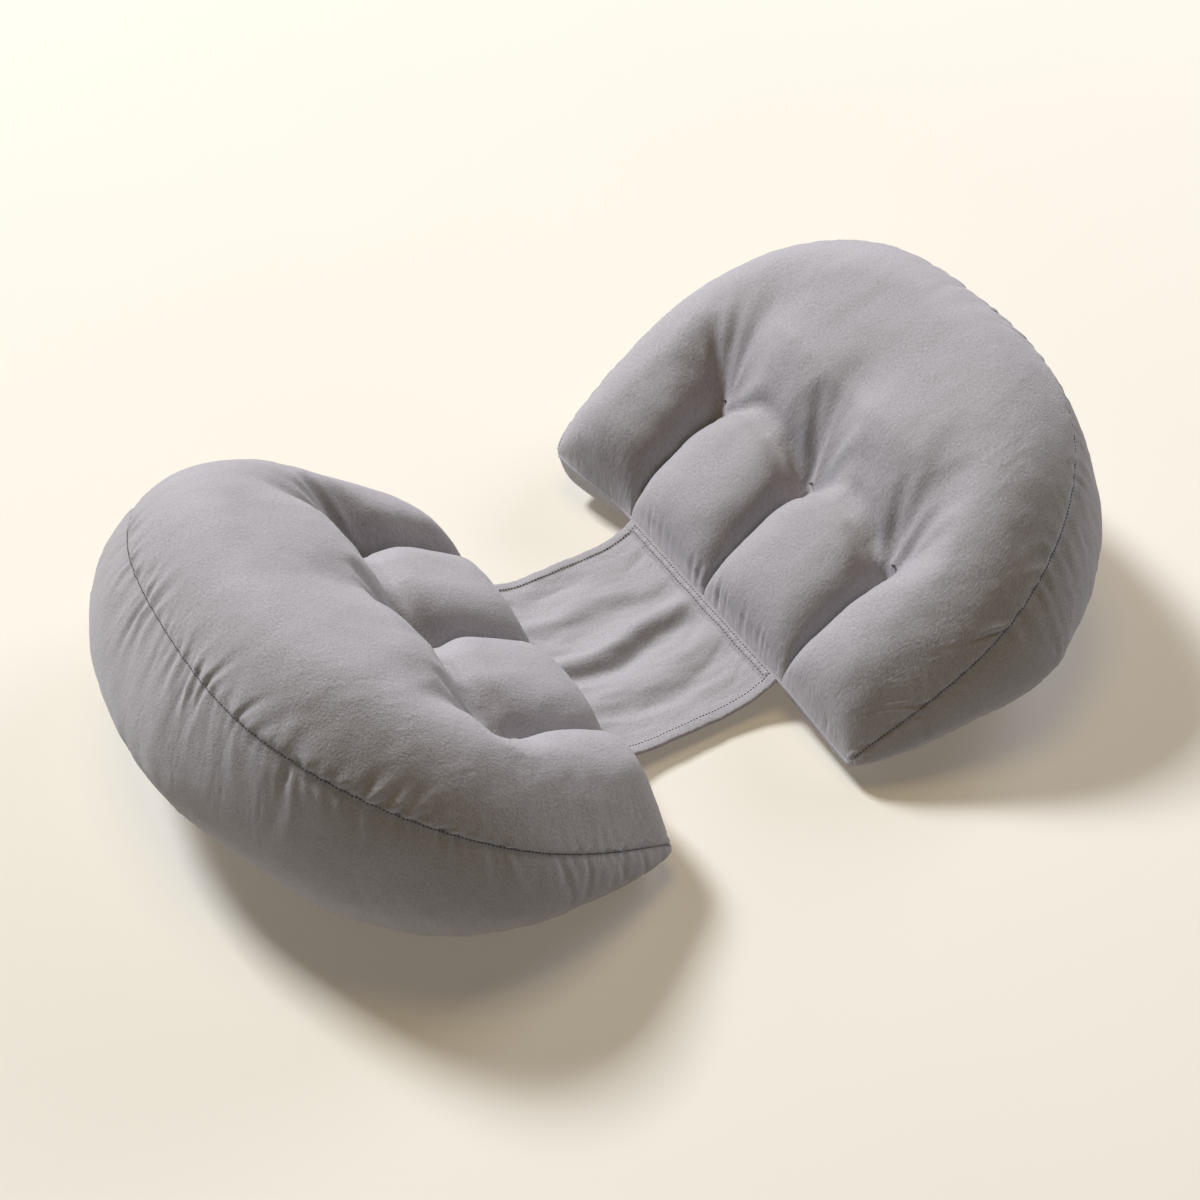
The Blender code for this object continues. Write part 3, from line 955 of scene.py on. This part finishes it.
def cotton(name, finish):
    material, shader = newMaterial(name, cottonShader)
    links = material.node_tree.links
    where = addNode(material, "UVMap", {"uv_map": "cloth"}, {})
    # threads are about 0.3 mm, too fine to show: the slubs are drawn about 1 mm wide
    slubs = []
    for stretch in ((1.0, 0.38, 1.0), (0.38, 1.0, 1.0)):
        drawn = addNode(material, "Mapping", {"Scale": stretch}, {"Vector": (where, "UV")})
        slubs.append(addNode(material, "TexNoise", {"Scale": finish["slubScale"], "Detail": 2.0},
                             {"Vector": (drawn, "Vector")}))
    weave = addNode(material, "Math", {"operation": "ADD"}, {0: (slubs[0], "Fac"), 1: (slubs[1], "Fac")})
    nap = addNode(material, "TexNoise", {"Scale": finish["napScale"], "Detail": 3.0, "Roughness": 0.7},
                  {"Vector": (where, "UV")})
    mottle = addNode(material, "TexNoise", {"Scale": finish["mottleScale"], "Detail": 3.0},
                     {"Vector": (where, "UV")})
    blend = addNode(material, "Math", {"operation": "MULTIPLY_ADD", 1: 0.5},
                    {0: (weave, "Value"), 2: (nap, "Fac")})
    shade = addNode(material, "MapRange", {"From Min": 0.72, "From Max": 1.28}, {"Value": (blend, "Value")})
    dyed = {"data_type": "RGBA", mixA: linear(finish["dark"]), mixB: linear(finish["light"])}
    colour = addNode(material, "Mix", dyed, {"Factor": (shade, "Result")})
    patch = addNode(material, "MapRange", {"From Min": 0.42, "From Max": 0.68, "To Max": 0.35},
                    {"Value": (mottle, "Fac")})
    worn = addNode(material, "Mix", {"data_type": "RGBA", mixB: linear(finish["mottle"])},
                   {"Factor": (patch, "Result"), mixA: (colour, mixed)})
    links.new(worn.outputs[mixed], shader.inputs["Base Color"])
    # soft hand creases, then the weave, then the nap
    crease = addNode(material, "TexNoise",
                     {"Scale": finish["creaseScale"], "Detail": 2.0, "Distortion": 0.6},
                     {"Vector": (where, "UV")})
    low = addNode(material, "Bump", {"Strength": 0.5, "Distance": finish["creaseBump"]},
                  {"Height": (crease, "Fac")})
    middle = addNode(material, "Bump", {"Strength": 0.8, "Distance": finish["slubBump"]},
                     {"Height": (weave, "Value"), "Normal": (low, "Normal")})
    fine = addNode(material, "Bump", {"Strength": 0.9, "Distance": finish["napBump"]},
                   {"Height": (nap, "Fac"), "Normal": (middle, "Normal")})
    links.new(fine.outputs["Normal"], shader.inputs["Normal"])
    return material


# spun polyester sewing thread: a tight twist with a faint shine
def thread(name, light, dark):
    material, shader = newMaterial(name, {"Roughness": 0.6})
    where = addNode(material, "TexCoord", {}, {})
    twist = addNode(material, "TexNoise", {"Scale": 1400.0, "Detail": 2.0}, {"Vector": (where, "Object")})
    colour = addNode(material, "Mix", {"data_type": "RGBA", mixA: linear(dark), mixB: linear(light)},
                     {"Factor": (twist, "Fac")})
    material.node_tree.links.new(colour.outputs[mixed], shader.inputs["Base Color"])
    return material


# a painted, faintly uneven studio floor, faintly lit from below, which softens the shadows on it
floorShader = {"Roughness": 0.75, "Specular IOR Level": 0.2, "Emission Color": linear("#fff0dc"),
               "Emission Strength": 0.16}


def paintedFloor():
    material, shader = newMaterial("painted_studio_floor", floorShader)
    where = addNode(material, "TexCoord", {}, {})
    cloud = addNode(material, "TexNoise", {"Scale": 2.2, "Detail": 2.0}, {"Vector": (where, "Object")})
    painted = {"data_type": "RGBA", mixA: linear("#cecac1"), mixB: linear("#d2cec5")}
    colour = addNode(material, "Mix", painted, {"Factor": (cloud, "Fac")})
    material.node_tree.links.new(colour.outputs[mixed], shader.inputs["Base Color"])
    return material


# the waist panel: a hemmed strip that hangs a little between the two front seams
panel = {
    "halfWidth": 0.100,
    "thickness": 0.0020,
    "hem": 0.0092,
    "hemPuff": 0.0011,
    "hemStep": 0.0010,
    "hemRound": 0.004,
    "hemRipple": 0.00022,
    "edgeRound": 0.0016,
    "stitchLine": 0.0080,
    "stitchGroove": 0.00045,
    "stitchGrooveWidth": 0.0007,
    "seamRidge": 0.0017,
    "seamRidgeWidth": 0.0021,
    "seamRidgeIn": 0.0026,
    "seamGroove": 0.0006,
    "seamGrooveIn": 0.0068,
    "seamGrooveWidth": 0.0012,
    "seamStitchApart": 0.0016,
    "seamStitchFrom": -0.090,
    "seamStitchTo": 0.092,
    "sag": 0.014,
    "drop": 4,
    "wrinkle": 0.0016,
    "crease": 0.0024,
    "seamZ": 0.0264,
    "columns": 132,
    "rows": 170,
}
# soft folds across the panel: y on the left and on the right, height, width, and from which share
# of the way across to which (-1 is the left seam, 1 the right one)
foldColumns = ("leftY", "rightY", "height", "width", "from", "to")
panelFolds = [dict(zip(foldColumns, values)) for values in (
    (-0.006, 0.010, 0.0062, 0.010, -1.0, 1.0),
    (-0.019, -0.006, -0.0052, 0.009, -1.0, 1.0),
    (0.048, 0.040, 0.0026, 0.011, -1.0, 0.9),
    (0.030, 0.026, -0.0026, 0.009, -0.5, 1.1),
    (-0.050, -0.032, 0.0028, 0.011, -1.1, 1.1),
    (-0.068, -0.052, -0.0026, 0.008, -0.7, 1.1),
    (0.070, 0.076, -0.0018, 0.008, -1.1, 0.3),
)]
# short dents by the seams, where the gathered end lets go: x share, y, turn, length, width, depth
panelDents = (
    (-0.90, 0.071, 25, 0.016, 0.0045, 0.0016), (-0.86, 0.058, 5, 0.012, 0.004, 0.0010),
    (-0.72, -0.058, -10, 0.012, 0.0055, 0.0018), (-0.90, -0.075, 20, 0.012, 0.004, 0.0012),
    (0.80, 0.066, 18, 0.016, 0.004, 0.0012), (0.74, -0.018, 40, 0.014, 0.0045, 0.0020),
    (0.86, -0.044, 25, 0.016, 0.0035, 0.0014), (0.90, 0.030, 10, 0.012, 0.0035, 0.0010),
    (0.88, -0.070, 30, 0.014, 0.0035, 0.0012), (0.90, 0.052, 12, 0.010, 0.003, 0.0009),
)
panelHalf = 0.5 * (panelHigh[0] - panelLow[0])


def panelWrinkles(along, y):
    # small wrinkles that run mostly from seam to seam, some of them pressed in sharply
    place = Vector((along * panelHalf * 20.0 + 14.0 * y, 62.0 * y, 0.7))
    fold = panel["wrinkle"] * noise.noise(place) + 0.45 * panel["wrinkle"] * noise.noise(place * 2.3)
    return fold + panel["crease"] * (abs(noise.noise(place * 0.8 + Vector((5.0, 2.0, 0.0)))) - 0.25)


def panelMiddle(along, y):
    # height of the cloth's middle: the sag, the folds and dents in it, and the stiffer hems
    calm = panel["seamZ"] - panel["sag"] * (1.0 - abs(along) ** panel["drop"])
    fold = panelWrinkles(along, y)
    share = 0.5 * (along + 1.0)
    for one in panelFolds:
        centre = one["leftY"] + (one["rightY"] - one["leftY"]) * share
        centre += 0.003 * math.sin(5.0 * along + 30.0 * one["leftY"])
        fade = smooth((along - one["from"]) / 0.35 + 0.25) * smooth((one["to"] - along) / 0.35 + 0.25)
        across = (y - centre) / (one["width"] * (0.85 + 0.25 * math.cos(2.0 * along)))
        fold += one["height"] * fade * bell(across)
    for x0, y0, turn, reach, width, depth in panelDents:
        dx = (along - x0) * panelHalf
        dy = y - y0
        ca, sa = math.cos(math.radians(turn)), math.sin(math.radians(turn))
        fold -= depth * bell((dx * ca + dy * sa) / reach) * bell((dy * ca - dx * sa) / width)
    level = calm + fold * (1.0 - abs(along) ** 6)
    # the hems bridge the folds and wave a little of their own
    edge = panel["halfWidth"] - abs(y)
    stiff = smooth(1.0 - edge / (2.2 * panel["hem"]))
    wave = 0.0007 * math.sin(along * 5.2 + (1.0 if y > 0 else 3.4))
    wave = (wave + 0.0003 * math.sin(along * 17.0 + y * 9.0)) * (1.0 - along ** 4)
    return level + (calm + wave - level) * 0.75 * stiff


def panelPoint(along, y, level):
    # a point of the panel: along is -1 at the left seam and 1 at the right one, level 0 below and 1 above
    edge = panel["halfWidth"] - abs(y)
    inHem = smooth((panel["hem"] - edge) / panel["hemStep"])
    inner = panel["hem"] - edge + panel["hemRound"]
    puff = panel["hemPuff"] * inHem * swell(min(edge, inner) / panel["hemRound"], 2.0)
    groove = panel["stitchGroove"] * bell((edge - panel["stitchLine"]) / panel["stitchGrooveWidth"])
    ripple = panel["hemRipple"] * inHem * math.sin(along * 41.0 + 2.0 * math.sin(along * 13.0))
    half = 0.5 * panel["thickness"] * swell(edge / panel["edgeRound"] + 0.25, 2.0)
    z = panelMiddle(along, y)
    # the end seam stands up in a narrow rounded ridge, a little uneven, gripped by its stitches
    inward = (1.0 - abs(along)) * panelHalf
    ridge = panel["seamRidge"] * (1.0 + 0.16 * math.sin(y * 620.0) + 0.12 * math.sin(y * 1530.0 + 1.0))
    ripple += ridge * (1.0 - inHem) * bell((inward - panel["seamRidgeIn"]) / panel["seamRidgeWidth"])
    ripple -= panel["seamGroove"] * bell((inward - panel["seamGrooveIn"]) / panel["seamGrooveWidth"])
    top = z + half + puff - groove + ripple
    bottom = z - half - 0.4 * puff
    return Vector((middleX + along * panelHalf, middleY + y, bottom + (top - bottom) * level))


def panelCloth():
    deselectAll()
    bpy.ops.mesh.primitive_grid_add(x_subdivisions=panel["columns"], y_subdivisions=panel["rows"], size=2.0)
    piece = bpy.context.active_object
    piece.name = "waist_panel_cloth"
    startEdit()
    bpy.ops.mesh.extrude_region_move(TRANSFORM_OT_translate={"value": (0.0, 0.0, 1.0)})
    endEdit()
    mesh = piece.data
    layer = mesh.uv_layers.new(name="cloth")
    flat = []
    for vertex in mesh.vertices:
        # columns crowd together at the end seams, and rows in the hems
        along = vertex.co.x + 0.17 * math.sin(math.pi * vertex.co.x)
        y = panel["halfWidth"] * (vertex.co.y + 0.10 * math.sin(math.pi * vertex.co.y))
        flat.append((along * panelHalf, y))
        vertex.co = panelPoint(along, y, clamp(vertex.co.z))
    for loop in mesh.loops:
        layer.data[loop.index].uv = flat[loop.vertex_index]
    mesh.shade_smooth()
    return piece


def panelLine(start, end, steps):
    # a path on top of the panel between two spots, each a share along and a y
    path = []
    for step in range(steps + 1):
        share = step / steps
        along = start[0] + (end[0] - start[0]) * share
        y = start[1] + (end[1] - start[1]) * share
        path.append((panelPoint(along, y, 1.0), Vector((0.0, 0.0, 1.0))))
    return path


def layWeave(piece, spots, lines, stations, run):
    # the weave follows each cut cloth: top and bottom in plan, the gusset along its length,
    # and each of the three starts elsewhere on the bolt
    mesh = piece.data
    while mesh.uv_layers:
        mesh.uv_layers.remove(mesh.uv_layers[0])
    layer = mesh.uv_layers.new(name="cloth")
    last = len(stations) - 1
    plan = []
    for column, rank, level in spots:
        front, arc = lines[column]
        ax, ay = arcPoint(arc)
        y0 = front * c["halfFront"]
        plan.append((ax * stations[rank], y0 + (ay - y0) * stations[rank]))
    for face in mesh.polygons:
        ranks = [spots[index][1] for index in face.vertices]
        levels = [spots[index][2] for index in face.vertices]
        onGusset = min(ranks) == last and max(levels) - min(levels) > 0.001
        for loopIndex in face.loop_indices:
            index = mesh.loops[loopIndex].vertex_index
            column, rank, level = spots[index]
            if onGusset:
                place = (run[column] + 0.7, mesh.vertices[index].co.z * 1.25)
            else:
                # the crowned cloth is longer than its plan
                place = (plan[index][0] * 1.15, plan[index][1] + (0.0 if level > 0.5 else 1.0))
            layer.data[loopIndex].uv = place
    mesh.shade_smooth()


def sewPleats(piece, table, lines):
    # the pleats are spare cloth of the cushion itself, so they join its mesh
    folds = []
    for index in (-1, 0, 1):
        fold = channelPleat(piece, table, lines, index)
        layer = fold.data.uv_layers[0]
        layer.name = "cloth"
        for loop in fold.data.loops:
            place = fold.data.vertices[loop.vertex_index].co
            layer.data[loop.index].uv = (place.x, place.z)
        fold.data.shade_smooth()
        folds.append(fold)
    makeActive(piece)
    for fold in folds:
        fold.select_set(True)
    bpy.ops.object.join()


def seamPath(piece, table, lines, last, level):
    path = []
    for column in range(1, len(lines) - 1):
        vertex = piece.data.vertices[table[(column, last, level)]]
        path.append((vertex.co.copy(), vertex.normal.copy()))
    return path


# a tack of three crossed stitches and a knot holds each channel's end
tack = {"turns": (20.0, 95.0, 150.0), "half": 0.0021, "behind": 0.005, "above": 0.0016, "knot": 0.0006}


def channelTacks(piece, table, lines, stations, side):
    up = Vector((-cushionRows[side]["facing"] * 0.5, 0.0, 0.85))
    tacks = []
    knots = []
    for index in (-1, 0, 1):
        column = nearestColumn(lines, index)
        reach = arcPoint(lines[column][1])[0]
        behind = channelEnd(index) + tack["behind"]
        rank = min(range(len(stations) - 1), key=lambda item: abs(reach * stations[item] - behind))
        place = piece.data.vertices[table[(column, rank, c["sideRows"])]].co.copy()
        place.z += tack["above"]
        for turn in tack["turns"]:
            half = Vector((math.cos(math.radians(turn)), math.sin(math.radians(turn)), 0.0)) * tack["half"]
            tacks.append([(place - half, up), (place + half, up)])
        place.z += tack["knot"]
        half = Vector((tack["knot"], 0.0, 0.0))
        knots.append([(place - half, up), (place + half, up)])
    return tacks, knots


greyCotton = cotton("brushed_cotton_plain_weave", cottonFinish)
panelCotton = cotton("panel_cotton_plain_weave", dict(cottonFinish, creaseBump=0.0016, creaseScale=42.0))
darkThread = thread("spun_polyester_thread_dark", "#3d3638", "#231e20")
paleThread = thread("spun_polyester_thread_grey", "#8f898c", "#5f595c")

panelPiece = panelCloth()
for side in ("left", "right"):
    steps = fillCushion(side)
    piece, spots, lines, stations = cushionShell(side, 2)
    report("%s cushion cut out, %d points" % (side, len(spots)))
    if steps:
        plumpUp(piece, spots, steps)
    run, table = drawIn(piece, spots, lines, stations, side)
    layWeave(piece, spots, lines, stations, run)
    sewPleats(piece, table, lines)
    piece.data.materials.append(greyCotton)
    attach(piece, "root")
    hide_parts("cushion_" + side)
    last = len(stations) - 1
    seams = [seamPath(piece, table, lines, last, level) for level in (c["sideRows"], 0)]
    stitchRow("arc_seam_stitches_" + side, seams, darkThread, seamStitch, lift=0.0007)
    tacks, knots = channelTacks(piece, table, lines, stations, side)
    stitchRow("channel_tacks_" + side, tacks, darkThread, tackStitch, lift=0.0001)
    stitchRow("channel_knots_" + side, knots, paleThread, knotStitch, lift=0.0001)
    report("%s cushion finished" % side)

panelPiece.data.materials.append(panelCotton)
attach(panelPiece, "root")
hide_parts("waist_panel")
hemY = panel["halfWidth"] - panel["stitchLine"]
hemRows = [panelLine((-1.0, y), (1.0, y), 90) for y in (-hemY, hemY)]
hemStitches = stitchRow("panel_hem_stitches", hemRows, darkThread, seamStitch, lift=0.0003)
ridgeShare = 1.0 - panel["seamRidgeIn"] / panelHalf
apart = panel["seamStitchApart"] / panelHalf
seamRows = []
for along in (ridgeShare + apart, ridgeShare - apart, -ridgeShare - apart, -ridgeShare + apart):
    seamRows.append(panelLine((along, panel["seamStitchFrom"]), (along, panel["seamStitchTo"]), 240))
seamStitches = stitchRow("front_seam_stitches", seamRows, paleThread, frontStitch,
                         lift=0.0002, turn=0.35)
report("waist panel hemmed and sewn")

# floor, lights and camera
deselectAll()
bpy.ops.mesh.primitive_plane_add(size=12.0)
floor = bpy.context.active_object
floor.name = "studio_floor"
floor.data.materials.append(paintedFloor())

lighting = {
    "key": {"place": (-1.595, 5.218, 5.90), "size": 1.7, "watts": 790.0, "tint": "#f6faff"},
    "top": {"place": (0.0, 0.3, 3.0), "size": 1.2, "watts": 20.0, "tint": "#ffe4a6"},
    "side": {"place": (3.0, 0.5, 2.0), "size": 2.0, "watts": 52.0, "tint": "#eef2ff"},
}
lightsAim = Vector((0.0, 0.0, 0.08))
for name, lamp in lighting.items():
    light = bpy.data.lights.new("softbox_" + name, "AREA")
    light.shape = "SQUARE"
    light.size = lamp["size"]
    light.energy = lamp["watts"]
    light.color = linear(lamp["tint"])[:3]
    holder = newObject("softbox_" + name, light)
    holder.location = lamp["place"]
    faceAlong(holder, lightsAim - holder.location)

world = bpy.data.worlds.new("studio_air")
world.use_nodes = True
world.node_tree.nodes["Background"].inputs["Color"].default_value = linear("#ffe6c8")
world.node_tree.nodes["Background"].inputs["Strength"].default_value = 0.01
bpy.context.scene.world = world
bpy.context.scene.view_settings.view_transform = "Standard"

view = {"yaw": 31.08, "pitch": 44.76, "distance": 1.478, "aim": (-0.0061, 0.0219, 0.0438), "lens": 60.0}
yaw, pitch = math.radians(view["yaw"]), math.radians(view["pitch"])
forward = Vector((math.cos(pitch) * math.sin(yaw), math.cos(pitch) * math.cos(yaw), -math.sin(pitch)))
lensData = bpy.data.cameras.new("studio_camera")
lensData.lens = view["lens"]
lensData.sensor_width = 36.0
camera = newObject("studio_camera", lensData)
camera.location = Vector(view["aim"]) + Vector((middleX, middleY, 0.0)) - forward * view["distance"]
faceAlong(camera, forward)
bpy.context.scene.camera = camera

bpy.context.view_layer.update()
report("scene ready")
